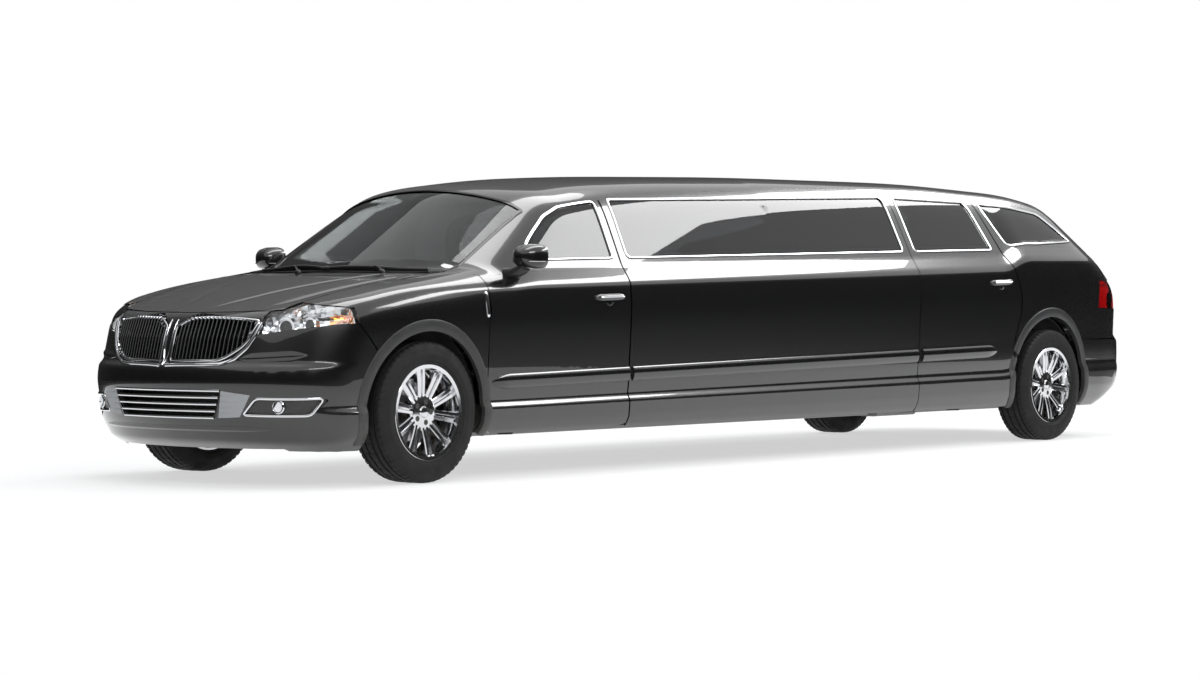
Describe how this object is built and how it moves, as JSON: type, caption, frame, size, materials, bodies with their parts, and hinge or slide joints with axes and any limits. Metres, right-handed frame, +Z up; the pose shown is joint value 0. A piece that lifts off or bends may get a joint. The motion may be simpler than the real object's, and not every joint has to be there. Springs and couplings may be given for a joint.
{
  "type": "stretch limousine",
  "caption": "Long stretch limousine estate with opening doors, hood and tailgate, steered front wheels and free-turning wheels.",
  "frame": {"origin": "on the ground under the middle of the overall length", "axes": "+X forward, +Y to the left, +Z up"},
  "size_m": [8.3175, 2.177, 1.7103],
  "materials": {
    "paint": "gloss black with clear coat",
    "chrome": "polished",
    "trim": "satin dark grey",
    "glass": "tinted",
    "lamp_clear": "clear lens over reflectors",
    "lamp_red": "moulded red lens",
    "leather": "soft grain",
    "iron": "cast and painted",
    "steel": "plain",
    "tyre": "rubber"
  },
  "bodies": {
    "body": {"underbody": "trim", "front_bumper": "paint", "rear_bumper": "paint", "grille": "chrome", "lower_grille": "trim", "front_lamps": "lamp_clear", "tail_lamps": "lamp_red", "fenders": "paint", "stretch_panels": "paint", "quarters": "paint", "roof": "paint", "windshield": "glass", "side_glass": "glass", "cowl": "trim", "front_seats": "leather", "cabin_seats": "leather", "bar_cabinet": "trim", "dashboard": "trim", "steering_wheel": "trim", "partition": "trim", "engine": "iron", "radiator": "trim", "exhaust": "steel", "front_subframe": "iron", "rear_axle": "iron"},
    "front_door_left": {"front_door_left": "paint", "front_glass_left": "glass"},
    "front_door_right": {"front_door_right": "paint", "front_glass_right": "glass"},
    "rear_door_left": {"rear_door_left": "paint", "rear_glass_left": "glass"},
    "rear_door_right": {"rear_door_right": "paint", "rear_glass_right": "glass"},
    "hood": {"hood": "paint"},
    "tailgate": {"tailgate": "paint", "tailgate_glass": "glass"},
    "knuckle_left": {"knuckle_left": "iron"},
    "knuckle_right": {"knuckle_right": "iron"},
    "wheel_fl": {"wheel_fl": "chrome", "tyre_fl": "tyre"},
    "wheel_fr": {"wheel_fr": "chrome", "tyre_fr": "tyre"},
    "wheel_rl": {"wheel_rl": "chrome", "tyre_rl": "tyre"},
    "wheel_rr": {"wheel_rr": "chrome", "tyre_rr": "tyre"}
  },
  "joints": [
    {"name": "front_door_left_hinge", "type": "hinge", "parent": "body", "child": "front_door_left", "pos_m": [2.6847, 0.9621, 0.6], "axis": [0, 0, -1], "range_deg": [0, 65]},
    {"name": "front_door_right_hinge", "type": "hinge", "parent": "body", "child": "front_door_right", "pos_m": [2.6847, -0.9621, 0.6], "axis": [0, 0, 1], "range_deg": [0, 65]},
    {"name": "rear_door_left_hinge", "type": "hinge", "parent": "body", "child": "rear_door_left", "pos_m": [-1.3392, 0.9621, 0.65], "axis": [0, 0, -1], "range_deg": [0, 65]},
    {"name": "rear_door_right_hinge", "type": "hinge", "parent": "body", "child": "rear_door_right", "pos_m": [-1.3392, -0.9621, 0.65], "axis": [0, 0, 1], "range_deg": [0, 65]},
    {"name": "hood_hinge", "type": "hinge", "parent": "body", "child": "hood", "pos_m": [2.97004, 0, 1.07794], "axis": [0, -1, 0], "range_deg": [0, 50]},
    {"name": "tailgate_hinge", "type": "hinge", "parent": "body", "child": "tailgate", "pos_m": [-3.0283, 0, 1.66457], "axis": [0, 1, 0], "range_deg": [0, 75]},
    {"name": "steer_left", "type": "hinge", "parent": "body", "child": "knuckle_left", "pos_m": [3.1405, 0.74, 0.3705], "axis": [0, 0, 1], "range_deg": [-33, 33]},
    {"name": "steer_right", "type": "hinge", "parent": "body", "child": "knuckle_right", "pos_m": [3.1405, -0.74, 0.3705], "axis": [0, 0, 1], "range_deg": [-33, 33]},
    {"name": "wheel_fl_spin", "type": "hinge", "parent": "knuckle_left", "child": "wheel_fl", "pos_m": [3.1405, 0.833, 0.3705], "axis": [0, 1, 0], "continuous": true},
    {"name": "wheel_fr_spin", "type": "hinge", "parent": "knuckle_right", "child": "wheel_fr", "pos_m": [3.1405, -0.833, 0.3705], "axis": [0, 1, 0], "continuous": true},
    {"name": "wheel_rl_spin", "type": "hinge", "parent": "body", "child": "wheel_rl", "pos_m": [-2.9025, 0.833, 0.3705], "axis": [0, 1, 0], "continuous": true},
    {"name": "wheel_rr_spin", "type": "hinge", "parent": "body", "child": "wheel_rr", "pos_m": [-2.9025, -0.833, 0.3705], "axis": [0, 1, 0], "continuous": true}
  ],
  "couplings": [
    {"joint": "steer_right", "follows": "steer_left", "ratio": 1}
  ]
}
